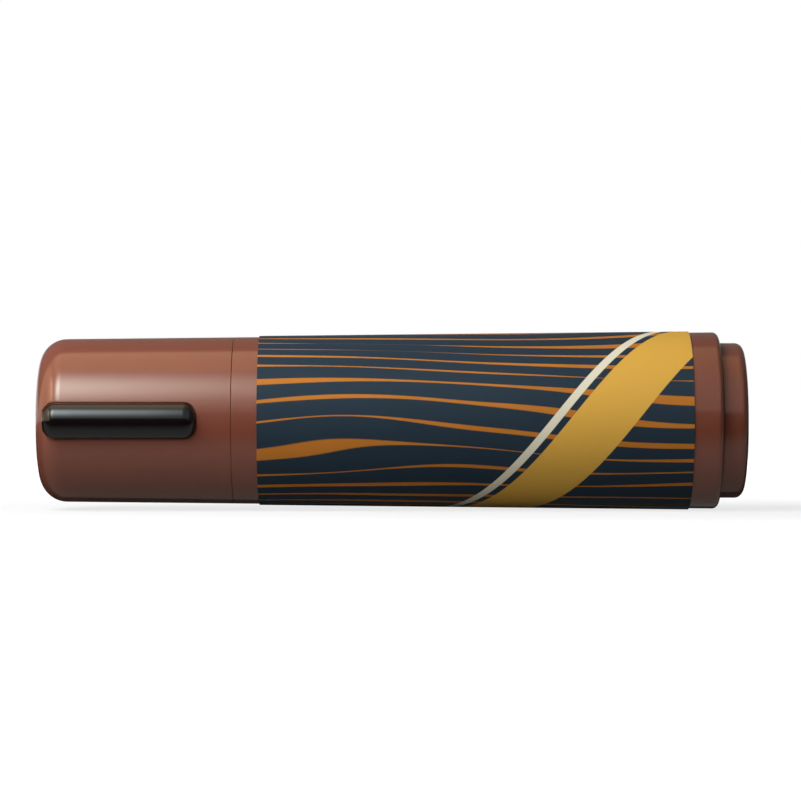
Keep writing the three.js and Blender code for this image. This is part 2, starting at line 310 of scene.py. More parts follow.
def smooth(piece: Piece, degrees: float = SOFT_EDGE_DEGREES) -> None:
    """Shades a piece smooth with normals led by its large faces.

    Args:
        piece: The object to shade.
        degrees: Edges sharper than this angle stay sharp.
    """
    focus(piece)
    bpy.ops.object.shade_smooth_by_angle(angle=math.radians(degrees))
    apply_modifier(piece, "WEIGHTED_NORMAL", keep_sharp=True, weight=FLAT_WEIGHT)


def round_corners(corners: Sequence[Corner], closed: bool) -> list[Vector]:
    """Turns outline corners into points, with an arc in place of each rounded corner.

    Args:
        corners: The corners in order.
        closed: Whether the outline runs back to its first corner.

    Returns:
        Points of place and radius, in metres.
    """
    points = []
    count = len(corners)
    for index, corner in enumerate(corners):
        here = Vector((corner.place, corner.radius)) * MM
        inner = closed or 0 < index < count - 1
        if corner.rounding <= 0 or not inner:
            points.append(here)
            continue
        before = corners[index - 1]
        after = corners[(index + 1) % count]
        back = (Vector((before.place, before.radius)) * MM - here).normalized()
        ahead = (Vector((after.place, after.radius)) * MM - here).normalized()
        half = back.angle(ahead) / 2
        reach = corner.rounding * MM / math.tan(half)
        middle = here + (back + ahead).normalized() * corner.rounding * MM / math.sin(half)
        start = here + back * reach - middle
        sweep = (here + ahead * reach - middle).angle_signed(start)
        steps = max(3, round(abs(math.degrees(sweep)) / ARC_STEP_DEGREES))
        for step in range(steps + 1):
            turn_by = sweep * step / steps
            cosine, sine = math.cos(turn_by), math.sin(turn_by)
            spoke = Vector((start.x * cosine - start.y * sine, start.x * sine + start.y * cosine))
            points.append(middle + spoke)
    if closed:
        points.append(points[0].copy())
    return points


def turn(
    name: str,
    corners: Sequence[Corner],
    closed: bool = False,
    start: float = 0.0,
    sweep: float = 360.0,
) -> Piece:
    """Turns an outline about the marker's axis: one point, drawn out along the outline, then spun.

    Args:
        name: The new object's name.
        corners: The outline, from axis to axis or as a closed ring.
        closed: Whether the outline runs back to its first corner.
        start: Where the turn starts, in degrees from the clip's side toward the top.
        sweep: How far it turns, in degrees.

    Returns:
        The turned object, at the origin.
    """
    points = round_corners(corners, closed)
    angle = math.radians(start)
    spoke = Vector((0, -math.cos(angle), math.sin(angle)))
    places = [Vector((point.x, 0, 0)) + spoke * point.y for point in points]
    piece = begin(name, bpy.ops.mesh.primitive_plane_add, size=MM, location=places[0])
    full = sweep >= 360
    steps = FINE_TURN if full else max(2, round(FINE_TURN * sweep / 360))
    with editing(piece):
        bpy.ops.mesh.select_all(action="SELECT")
        bpy.ops.mesh.merge(type="CENTER")
        for here, there in zip(places, places[1:]):
            bpy.ops.mesh.extrude_region_move(TRANSFORM_OT_translate={"value": there - here})
        bpy.ops.mesh.select_all(action="SELECT")
        bpy.ops.mesh.spin(steps=steps, angle=math.radians(sweep), center=(0, 0, 0), axis=(1, 0, 0))
        bpy.ops.mesh.select_all(action="SELECT")
        bpy.ops.mesh.remove_doubles(threshold=MM * MERGE_MM)
        if not full:
            bpy.ops.mesh.select_all(action="SELECT")
            bpy.ops.mesh.fill_holes(sides=len(points))
        bpy.ops.mesh.select_all(action="SELECT")
        bpy.ops.mesh.normals_make_consistent(inside=False)
    settle(piece)
    return piece


def slab(
    name: str, low: Sequence[float], high: Sequence[float], corner: float, along: int
) -> Piece:
    """Makes a block whose edges along one axis are rounded.

    Args:
        name: The new object's name.
        low: Lowest corner, in millimetres.
        high: Highest corner, in millimetres.
        corner: Radius of the rounded edges, in millimetres.
        along: The axis that the rounded edges run along, 0 to 2.

    Returns:
        The block, at the origin.
    """
    middle = (Vector(low) + Vector(high)) / 2 * MM
    block = begin(name, bpy.ops.mesh.primitive_cube_add, size=1, location=middle)
    block.scale = (Vector(high) - Vector(low)) * MM
    settle(block)

    def runs_along(edge: bmesh.types.BMEdge) -> bool:
        """Says whether an edge runs along the axis."""
        return abs((edge.verts[0].co - edge.verts[1].co).normalized()[along]) > ALIGNED

    with editing(block, Element.EDGE):
        pick(block, Element.EDGE, runs_along)
        bpy.ops.mesh.bevel(offset=corner * MM, segments=SLAB_SEGMENTS, profile=0.5, affect="EDGES")
    return block


class Material:
    """A finish on a node tree with one shader and the object's own coordinates in millimetres."""

    name = "finish"

    def __init__(self) -> None:
        """Starts an empty node tree, reads the place in millimetres and paints."""
        self.made = blank_material(self.name)
        self.tree = self.made.node_tree
        place = self.add("ShaderNodeTexCoord", {})["Object"]
        scale = {0: place, 1: (1 / MM, 1 / MM, 1 / MM)}
        self.millimetres = self.add(VECTOR_SUM, scale, operation="MULTIPLY")[0]
        self.paint()

    def paint(self) -> None:
        """Adds the nodes of the finish."""
        raise NotImplementedError

    def add(self, kind: str, inputs: Inputs, **settings: object) -> Outputs:
        """Adds a node to this finish."""
        return add_node(self.tree, kind, inputs, **settings)

    def mottled(
        self, cloud_mm: float, detail: float, first: Colour, second: Colour, rough: float = 0.5
    ) -> Socket:
        """Clouds two close colours into each other.

        Args:
            cloud_mm: Size of the clouds, in millimetres.
            detail: How many finer layers they have.
            first: One colour.
            second: The other colour.
            rough: How strong the finer layers are.

        Returns:
            The mottled colour.
        """
        clouds = {"Scale": 1 / cloud_mm, "Detail": detail, "Roughness": rough}
        level = self.add("ShaderNodeTexNoise", {"Vector": self.millimetres, **clouds})[0]
        return self.add("ShaderNodeMix", {0: level, 6: first, 7: second}, data_type="RGBA")[2]

    def rippled(
        self,
        wave_mm: float,
        detail: float,
        gloss: tuple[float, float],
        strength: float,
        depth_mm: float,
    ) -> dict[str, Socket]:
        """Ripples a surface and its gloss together.

        Args:
            wave_mm: Size of the waves, in millimetres.
            detail: How many finer layers they have.
            gloss: Least and greatest roughness.
            strength: How much of the waves' relief shows, 0 to 1.
            depth_mm: Depth of the waves, in millimetres.

        Returns:
            The shader's roughness and normal.
        """
        waves = {"Vector": self.millimetres, "Scale": 1 / wave_mm, "Detail": detail}
        level = self.add("ShaderNodeTexNoise", waves)[0]
        low, high = gloss
        relief = {"Strength": strength, "Distance": depth_mm * MM, "Height": level}
        return {
            "Roughness": self.add("ShaderNodeMapRange", {0: level, 3: low, 4: high})[0],
            "Normal": self.add("ShaderNodeBump", relief)[0],
        }

    def finish(self, **inputs: Source) -> None:
        """Adds the shader and the output.

        Args:
            **inputs: Values or sockets for the shader's inputs, with _ for each space in a name.
        """
        named = {name.replace("_", " "): value for name, value in inputs.items()}
        shader = self.add("ShaderNodeBsdfPrincipled", named)[0]
        self.add("ShaderNodeOutputMaterial", {"Surface": shader})


class BrownPolypropylene(Material):
    """Polypropylene from a polished mould: glossy, with a faint ripple and a faint mottle."""

    name = "brown_polypropylene"
    mottle_mm = 5.0
    ripple_mm = 1.6

    def paint(self) -> None:
        """Mixes two close browns and ripples the gloss."""
        browns = srgb("7C4434"), srgb("844938")
        self.finish(
            Base_Color=self.mottled(self.mottle_mm, 4.0, *browns, rough=0.6),
            IOR=1.49,
            **self.rippled(self.ripple_mm, 2.0, gloss=(0.13, 0.19), strength=0.25, depth_mm=0.004),
        )


class BlackGlossPlastic(Material):
    """Gloss black plastic: nearly black, with a clear reflection that the mould leaves wavy."""

    name = "black_abs"
    ripple_mm = 3.0

    def paint(self) -> None:
        """Adds a shallow wave to a black gloss."""
        self.finish(
            Base_Color=srgb("120E0E"),
            IOR=1.46,
            Specular_Tint=(0.86, 0.88, 1.0, 1.0),
            **self.rippled(self.ripple_mm, 1.0, gloss=(0.1, 0.16), strength=0.35, depth_mm=0.02),
        )


class GrainLabel(Material):
    """Printed film under a satin laminate: navy, with orange grain lines and an amber stripe."""

    name = "printed_label_film"
    radius_mm = 12.4
    line_gap_mm = 2.7
    wander_length_mm = 66.0
    wander_height_mm = 14.0
    stripe_middle_mm = -20.5
    stripe_lean = 0.82
    stripe_width_mm = 7.4
    pin_offset_mm = 5.2
    pin_width_mm = 1.1
    edge_mm = 0.05
    drift_lines = 5.4
    drift_seed = 3.7
    swell_length_mm = 34.0
    swell_step = 7.31
    swell_seed = 1.9
    swell_range = (0.26, 0.74)
    line_half_mm = 0.5
    tone_mm = 9.0
    wave_mm = 2.2

    def band(self, distance: Source, half_width: Source) -> Socket:
        """Gives 1 inside a band and 0 outside, with a narrow soft edge.

        Args:
            distance: Signed distance from the band's middle, in millimetres.
            half_width: Half the band's width, in millimetres.

        Returns:
            The band's mask.
        """
        away = self.add(SUM, {0: distance}, operation="ABSOLUTE")[0]
        outside = self.add(SUM, {0: away, 1: half_width}, operation="SUBTRACT")[0]
        edge = {0: outside, 1: -self.edge_mm, 2: self.edge_mm, 3: 1.0, 4: 0.0}
        return self.add("ShaderNodeMapRange", edge, interpolation_type="SMOOTHSTEP")[0]

    def grain(self, along: Socket, around: Socket) -> Socket:
        """Draws wandering lines that swell, thin out and end.

        Args:
            along: Place along the axis, in millimetres.
            around: Place round the label, in millimetres from the clip's side.

        Returns:
            The lines' mask.
        """
        stretched = {
            0: self.add(SUM, {0: along, 1: self.wander_length_mm}, operation="DIVIDE")[0],
            1: self.add(SUM, {0: around, 1: self.wander_height_mm}, operation="DIVIDE")[0],
            2: self.drift_seed,
        }
        field = self.add("ShaderNodeCombineXYZ", stretched)[0]
        drift = self.add("ShaderNodeTexNoise", {"Vector": field, "Scale": 1.0, "Detail": 0.6})[0]
        swing = self.add(SUM, {0: drift, 1: 0.5}, operation="SUBTRACT")[0]
        shift = self.add(SUM, {0: swing, 1: self.drift_lines}, operation="MULTIPLY")[0]
        even = self.add(SUM, {0: around, 1: self.line_gap_mm}, operation="DIVIDE")[0]
        count = self.add(SUM, {0: even, 1: shift}, operation="ADD")[0]
        line = self.add(SUM, {0: count}, operation="FLOOR")[0]
        share = self.add(SUM, {0: count}, operation="FRACT")[0]
        beside = self.add(SUM, {0: share, 1: 0.5}, operation="SUBTRACT")[0]
        seeds = {
            0: self.add(SUM, {0: along, 1: self.swell_length_mm}, operation="DIVIDE")[0],
            1: self.add(SUM, {0: line, 1: self.swell_step}, operation="MULTIPLY")[0],
            2: self.swell_seed,
        }
        own = self.add("ShaderNodeCombineXYZ", seeds)[0]
        swell = self.add("ShaderNodeTexNoise", {"Vector": own, "Scale": 1.0, "Detail": 0.0})[0]
        thin, thick = self.swell_range
        widths = {0: swell, 1: thin, 2: thick, 3: 0.0, 4: self.line_half_mm}
        half = self.add("ShaderNodeMapRange", widths)[0]
        distance = self.add(SUM, {0: beside, 1: self.line_gap_mm}, operation="MULTIPLY")[0]
        return self.band(distance, half)

    def paint(self) -> None:
        """Lays the stripe over the lines over the ground."""
        axes = self.add("ShaderNodeSeparateXYZ", {0: self.millimetres})
        front = self.add(SUM, {0: axes[1], 1: -1.0}, operation="MULTIPLY")[0]
        angle = self.add(SUM, {0: axes[2], 1: front}, operation="ARCTAN2")[0]
        around = self.add(SUM, {0: angle, 1: self.radius_mm}, operation="MULTIPLY")[0]
        leaning = self.add(SUM, {0: around, 1: self.stripe_lean}, operation="MULTIPLY")[0]
        straight = self.add(SUM, {0: axes[0], 1: leaning}, operation="SUBTRACT")[0]
        centred = self.add(SUM, {0: straight, 1: self.stripe_middle_mm}, operation="SUBTRACT")[0]
        slant = math.hypot(1.0, self.stripe_lean)
        across = self.add(SUM, {0: centred, 1: slant}, operation="DIVIDE")[0]
        beside = self.add(SUM, {0: across, 1: self.pin_offset_mm}, operation="ADD")[0]
        orange = self.mottled(self.tone_mm, 2.0, srgb("BE742A"), srgb("CA7F32"))
        layers = (
            (self.grain(axes[0], around), orange),
            (self.band(across, self.stripe_width_mm / 2), srgb("E8B44E")),
            (self.band(beside, self.pin_width_mm / 2), srgb("F0E9CF")),
        )
        print_colour = self.mottled(self.tone_mm, 2.0, srgb("273541"), srgb("2B3A47"))
        for mask, ink in layers:
            laid = {0: mask, 6: print_colour, 7: ink}
            print_colour = self.add("ShaderNodeMix", laid, data_type="RGBA")[2]
        self.finish(
            Base_Color=print_colour,
            IOR=1.45,
            Specular_IOR_Level=0.05,
            **self.rippled(self.wave_mm, 2.0, gloss=(0.46, 0.54), strength=0.2, depth_mm=0.004),
        )


class NaturalPlastic(Material):
    """Unpigmented moulded plastic: milky, satin, with a little light going through it."""

    name = "natural_polypropylene"
    tint = "E2DED2"
    gloss = (0.34, 0.44)
    cloud_mm = 2.0

    def paint(self) -> None:
        """Mixes a faint cloud into the milky tint."""
        clouds = {"Vector": self.millimetres, "Scale": 1 / self.cloud_mm, "Detail": 3.0}
        level = self.add("ShaderNodeTexNoise", clouds)[0]
        milk = {0: level, 6: srgb(self.tint), 7: srgb("EEEBE2")}
        low, high = self.gloss
        self.finish(
            Base_Color=self.add("ShaderNodeMix", milk, data_type="RGBA")[2],
            Roughness=self.add("ShaderNodeMapRange", {0: level, 3: low, 4: high})[0],
            IOR=1.49,
            Subsurface_Weight=0.2,
            Subsurface_Radius=(1.0, 0.9, 0.8),
            Subsurface_Scale=1.2 * MM,
        )


class SoftPolyethylene(NaturalPlastic):
    """Soft moulded polyethylene of the seal cup: whiter and duller than the nib holder."""

    name = "soft_polyethylene"
    tint = "E8E7E1"
    gloss = (0.42, 0.52)


class InkedFelt(Material):
    """Pressed felt soaked with brown ink: matt and unevenly stained, with fibres along the nib."""

    name = "inked_felt"
    # Real fibres are about 0.03 mm across; these are ten times as coarse, or they wouldn't show.
    fibre_mm = 0.3
    fibre_stretch = 0.16
    fibre_contrast = (0.36, 0.64)
    least_ink = 0.1
    stain_mm = 1 / 0.7
    dark = "331A0E"
    light = "8E5E3C"

    def paint(self) -> None:
        """Draws fibres that lie along the axis and are long against their width."""
        squeeze = {0: self.millimetres, 1: (self.fibre_stretch, 1.0, 1.0)}
        lain = self.add(VECTOR_SUM, squeeze, operation="MULTIPLY")[0]
        fibres = {"Vector": lain, "Scale": 1 / self.fibre_mm, "Detail": 4.0, "Roughness": 0.7}
        strands = self.add("ShaderNodeTexNoise", fibres)[0]
        blots = {"Vector": self.millimetres, "Scale": 1 / self.stain_mm, "Detail": 3.0}
        stain = self.add("ShaderNodeTexNoise", blots)[0]
        low, high = self.fibre_contrast
        apart = self.add("ShaderNodeMapRange", {0: strands, 1: low, 2: high})[0]
        mixed = {0: apart, 1: stain, 2: self.least_ink}
        depth = self.add(SUM, mixed, operation="MULTIPLY_ADD")[0]
        soaked = {0: depth, 6: srgb(self.dark), 7: srgb(self.light)}
        relief = {"Strength": 0.9, "Distance": 0.14 * MM, "Height": strands}
        self.finish(
            Base_Color=self.add("ShaderNodeMix", soaked, data_type="RGBA")[2],
            Roughness=0.92,
            IOR=1.4,
            Sheen_Weight=0.25,
            Normal=self.add("ShaderNodeBump", relief)[0],
        )


class BondedFibre(InkedFelt):
    """Bonded polyester fibre of the reservoir, paler than the nib where the ink hasn't settled."""

    name = "bonded_fibre"
    fibre_mm = 0.4
    dark = "6B4229"
    light = "A87B58"


class ClearFilm(Material):
    """Clear film round the reservoir: thin, glossy and see-through with a faint crease pattern."""

    name = "clear_film"
    crease_mm = 2.5

    def paint(self) -> None:
        """Lets most light through a glossy film."""
        self.finish(
            Base_Color=srgb("E3E7E9"),
            IOR=1.5,
            Transmission_Weight=0.85,
            **self.rippled(self.crease_mm, 3.0, gloss=(0.08, 0.16), strength=0.3, depth_mm=0.02),
        )


@dataclass
class SubAssembly:
    """A sub-assembly of the marker: its stations and the way its pieces join the frame."""

    at: Stations

    def dress(
        self, piece: Piece, finish: Material, node: str, body: str, slot: str
    ) -> None:
        """Gives a piece its finish and puts it in the place of its CAD node.

        Args:
            piece: The finished object.
            finish: Its material.
            node: The CAD node that it stands for, or nothing for a piece that stands for none.
            body: The body that it rides on.
            slot: The record's material slot; not used.
        """
        piece.data.materials.clear()
        piece.data.materials.append(finish.made)
        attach(piece, body)
        if node:
            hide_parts(node)
        LOG.info("%s: %d faces on %s", piece.name, len(piece.data.polygons), body)


@dataclass
class Body(SubAssembly):
    """Barrel, label and rear plug, the pieces that stay in the hand's grip."""

    front_radius: float = 11.85
    seam: float = 0.04
    bore: float = 10.2
    shoulder: float = 2.0
    neck_radius: float = 10.2
    neck_bore: float = 8.7
    groove_from_collar: float = 3.0
    groove_width: float = 1.6
    groove_depth: float = 0.25
    rear_round: float = 0.8
    rear_step: float = 0.28
    film_inset: float = 0.18
    film_gap: float = 0.05
    film: float = 0.12
    overlap_degrees: float = 13.0
    plug_radius: float = 11.03
    plug_wall: float = 1.4
    plug_end: float = 1.6
    gate_radius: float = 1.5
    gate_depth: float = 0.25
    gate_slope: float = 0.2

    @property
    def collar_front(self) -> float:
        """Front face of the collar."""
        return self.at.cap_mouth + self.seam

    def radius(self, place: float) -> float:
        """Radius of the drafted barrel at a place along the axis."""
        return self.front_radius + (place - self.collar_front) * DRAFT

    def barrel(self, finish: Material) -> None:
        """Turns the barrel with its neck, collar and rounded rear rim.

        Args:
            finish: Its material.
        """
        at = self.at
        groove = self.collar_front - self.groove_from_collar
        quarter = self.groove_width / 4
        piece = turn("barrel_moulding", [
            Corner(at.neck_front, self.neck_bore, 0.15),
            Corner(at.neck_front, self.neck_radius, 0.45),
            Corner(groove - 2 * quarter, self.neck_radius, 0.3),
            Corner(groove - quarter, self.neck_radius - self.groove_depth, 0.3),
            Corner(groove + quarter, self.neck_radius - self.groove_depth, 0.3),
            Corner(groove + 2 * quarter, self.neck_radius, 0.3),
            Corner(self.collar_front, self.neck_radius, 0.12),
            Corner(self.collar_front, self.front_radius, 0.06),
            Corner(at.barrel_rear - self.rear_step, self.radius(at.barrel_rear), self.rear_round),
            Corner(at.barrel_rear - self.rear_step, self.bore, 0.1),
            Corner(self.collar_front + self.shoulder, self.bore, 0.4),
            Corner(self.collar_front + self.shoulder, self.neck_bore, 0.2),
        ], closed=True)
        smooth(piece)
        self.dress(piece, finish, "barrel", "barrel", "brown_plastic")

    def film_ring(self, lift: float) -> list[Corner]:
        """Draws the film's outline on the barrel.

        Args:
            lift: How far it is lifted off the barrel, in millimetres.

        Returns:
            The corners of its section.
        """
        low, high = self.at.label_front + self.film_inset, self.at.label_rear - self.film_inset
        return [
            Corner(low, self.radius(low) + lift),
            Corner(low, self.radius(low) + lift + self.film, 0.04),
            Corner(high, self.radius(high) + lift + self.film, 0.04),
            Corner(high, self.radius(high) + lift),
        ]

    def label(self, finish: Material) -> None:
        """Wraps the label round the barrel and laps its end over its start at the back.

        Args:
            finish: Its material.
        """
        piece = turn("label_film", self.film_ring(self.film_gap), closed=True)
        flap = turn(
            "label_lap",
            self.film_ring(self.film_gap + self.film),
            closed=True,
            start=180 - self.overlap_degrees / 2,
            sweep=self.overlap_degrees,
        )
        smooth(piece)
        smooth(flap)
        self.dress(flap, finish, "", "barrel", "label_film")
        self.dress(piece, finish, "label_sleeve", "barrel", "label_film")

    def plug(self, finish: Material) -> None:
        """Turns the rear plug, a cup with a rounded head and a sunk gate mark.

        Args:
            finish: Its material.
        """
        skirt = self.bore - self.film_gap
        head = self.at.barrel_rear + self.film_gap - self.rear_step
        piece = turn("rear_plug_moulding", [
            Corner(-self.plug_end, 0),
            Corner(-self.plug_end, skirt - self.plug_wall, 0.4),
            Corner(self.at.plug_front, skirt - self.plug_wall, 0.2),
            Corner(self.at.plug_front, skirt, 0.3),
            Corner(head, skirt, 0.05),
            Corner(head, self.plug_radius, 0.12),
            Corner(0, self.plug_radius, 1.2),
            Corner(0, self.gate_radius, 0.12),
            Corner(-self.gate_depth, self.gate_radius - self.gate_slope, 0.12),
            Corner(-self.gate_depth, 0),
        ])
        smooth(piece)
        self.dress(piece, finish, "rear_plug", "barrel", "brown_plastic")


@dataclass
class Cap(SubAssembly):
    """Cap shell with the trough for its clip, and the seal cup inside it."""

    mouth_radius: float = 11.85
    wall: float = 1.5
    crown_wall: float = 1.35
    crown_round: float = 3.8
    cavity_round: float = 2.2
    trough_depth: float = 0.6
    trough_margin: float = 0.05
    clip_width: float = 5.0
    clip_corner: float = 1.75
    clip_reach: float = 0.3
    slot_from_crown: float = 5.2
    slot_length: float = 2.9
    slot_width: float = 3.5
    hold_ring: tuple[float, float] = (-93.1, -92.3)
    running: float = 0.15
    ledge: float = 0.5
    ledge_width: float = 0.7
    bead: float = 0.08
    bead_from_mouth: float = 2.8
    narrow_from_mouth: float = 8.5
    cup_radius: float = 7.565
    cup_wall: float = 1.3
    cup_end_wall: float = 0.7
    lip_radius: float = 5.945
    lip_step: float = 0.5
    tool_reach: float = 4.0
    slot_corner: float = 0.3
    slot_outside: float = 1.0
    slot_inside: float = 1.5
    rim_round: float = 0.12
    rim_half_width: float = 4.0
    rim_tolerance: float = 0.03
    rim_degrees: float = 40.0
    gate_depth: float = 0.18
    gate_radius: float = 1.4
    gate_slope: float = 0.2
    bead_half: float = 0.5
    narrow_slope: float = 1.2

    def radius(self, place: float) -> float:
        """Radius of the drafted cap at a place along the axis."""
        return self.mouth_radius - (self.at.cap_mouth - place) * DRAFT

    @property
    def cavity(self) -> float:
        """Radius of the cap's inside near the crown."""
        return self.radius(self.at.crown + self.crown_round) - self.wall

    def shell_core(self, name: str, inset: float) -> Piece:
        """Turns a solid that lies inside the cap's outer surface.

        Args:
            name: The new object's name.
            inset: How far inside it lies, in millimetres.

        Returns:
            The solid.
        """
        at = self.at
        return turn(name, [
            Corner(at.crown + inset, 0),
            Corner(at.crown + inset, self.radius(at.crown) - inset, self.crown_round - inset),
            Corner(at.cap_mouth, self.mouth_radius - inset),
            Corner(at.cap_mouth, 0),
        ])

    def trough(self) -> Piece:
        """Makes the tool that sinks the clip's trough to an even depth.

        Returns:
            The tool.
        """
        at = self.at
        half = self.clip_width / 2 + self.trough_margin
        ahead = at.clip_root - self.clip_reach - self.trough_margin
        low = (ahead, -self.mouth_radius - self.tool_reach, -half)
        high = (at.clip_tip + self.trough_margin, -self.mouth_radius / 2, half)
        well = slab("trough_tool", low, high, self.clip_corner + self.trough_margin, along=1)
        work(well, self.shell_core("trough_floor", self.trough_depth), Cut.AWAY)
        return well

    def on_rim(self, edge: bmesh.types.BMEdge) -> bool:
        """Tests whether an edge lies where the trough's wall meets the cap's outer surface.

        Args:
            edge: An edge of the cut cap.

        Returns:
            Whether it is on the rim.
        """
        for vertex in edge.verts:
            place, radius = vertex.co.x / MM, math.hypot(vertex.co.y, vertex.co.z) / MM
            middle = self.at.crown + self.crown_round
            if place > middle:
                surface = self.radius(place)
            else:
                drop = self.crown_round ** 2 - (middle - place) ** 2
                surface = self.radius(middle) - self.crown_round + math.sqrt(max(0.0, drop))
            far = vertex.co.y > 0 or abs(vertex.co.z) > self.rim_half_width * MM
            if far or abs(radius - surface) > self.rim_tolerance:
                return False
        return len(edge.link_faces) == 2 and edge.calc_face_angle() > math.radians(self.rim_degrees)

    def shell(self, finish: Material) -> None:
        """Turns the cap, sinks the trough and the tang's slot, and breaks the trough's rim.

        Args:
            finish: Its material.
        """
        at = self.at
        bore = self.mouth_radius - self.wall
        bead = at.cap_mouth - self.bead_from_mouth
        narrow = at.cap_mouth - self.narrow_from_mouth
        ledge = self.hold_ring[1] + self.running
        inside = at.crown + self.crown_wall
        piece = turn("cap_moulding", [
            Corner(at.crown + self.gate_depth, 0),
            Corner(at.crown + self.gate_depth, self.gate_radius - self.gate_slope, 0.08),
            Corner(at.crown, self.gate_radius, 0.1),
            Corner(at.crown, self.radius(at.crown), self.crown_round),
            Corner(at.cap_mouth, self.mouth_radius, 0.08),
            Corner(at.cap_mouth, bore, 0.3),
            Corner(bead + self.bead_half, bore, 0.2),
            Corner(bead, bore - self.bead, 0.3),
            Corner(bead - self.bead_half, bore, 0.2),
            Corner(narrow + self.narrow_slope, bore, 0.5),
            Corner(narrow, self.cavity, 0.5),
            Corner(ledge + self.ledge_width, self.cavity, 0.1),
            Corner(ledge, self.cavity - self.ledge, 0.06),
            Corner(ledge, self.cavity),
            Corner(inside, self.cavity, self.cavity_round),
            Corner(inside, 0),
        ], start=180 / FINE_TURN)
        work(piece, self.trough(), Cut.AWAY)
        slot = at.crown + self.slot_from_crown
        long, wide = self.slot_length / 2, self.slot_width / 2
        low = (slot - long, -self.mouth_radius - self.slot_outside, -wide)
        high = (slot + long, self.slot_inside - self.cavity, wide)
        work(piece, slab("slot_tool", low, high, self.slot_corner, along=1), Cut.AWAY)
        with editing(piece, Element.EDGE):
            rim = pick(piece, Element.EDGE, self.on_rim)
            bpy.ops.mesh.bevel(offset=self.rim_round * MM, segments=3, profile=0.5, affect="EDGES")
        LOG.info("trough rim: %d edges", rim)
        smooth(piece)
        self.dress(piece, finish, "cap_shell", "cap", "brown_plastic")

    def cup(self, finish: Material) -> None:
        """Turns the seal cup with its sealing lip and holding ring.

        Args:
            finish: Its material.
        """
        at = self.at
        bore = self.cup_radius - self.cup_wall
        front, rear = self.hold_ring
        floor = at.cup_end + self.cup_end_wall
        piece = turn("seal_cup", [
            Corner(at.cup_end, 0),
            Corner(at.cup_end, self.cup_radius, 0.6),
            Corner(front, self.cup_radius, 0.15),
            Corner(front, self.cavity - self.running, 0.2),
            Corner(rear, self.cavity - self.running, 0.2),
            Corner(rear, self.cup_radius, 0.15),
            Corner(at.cup_mouth, self.cup_radius, 0.3),
            Corner(at.cup_mouth, bore, 0.2),
            Corner(at.cup_mouth - self.lip_step, self.lip_radius, 0.25),
            Corner(at.cup_mouth - 2 * self.lip_step, self.lip_radius, 0.25),
            Corner(at.cup_mouth - 3 * self.lip_step, bore, 0.25),
            Corner(floor, bore, 0.5),
            Corner(floor, 0),
        ])
        smooth(piece)
        self.dress(piece, finish, "inner_cap", "inner_cap", "soft_natural_plastic")


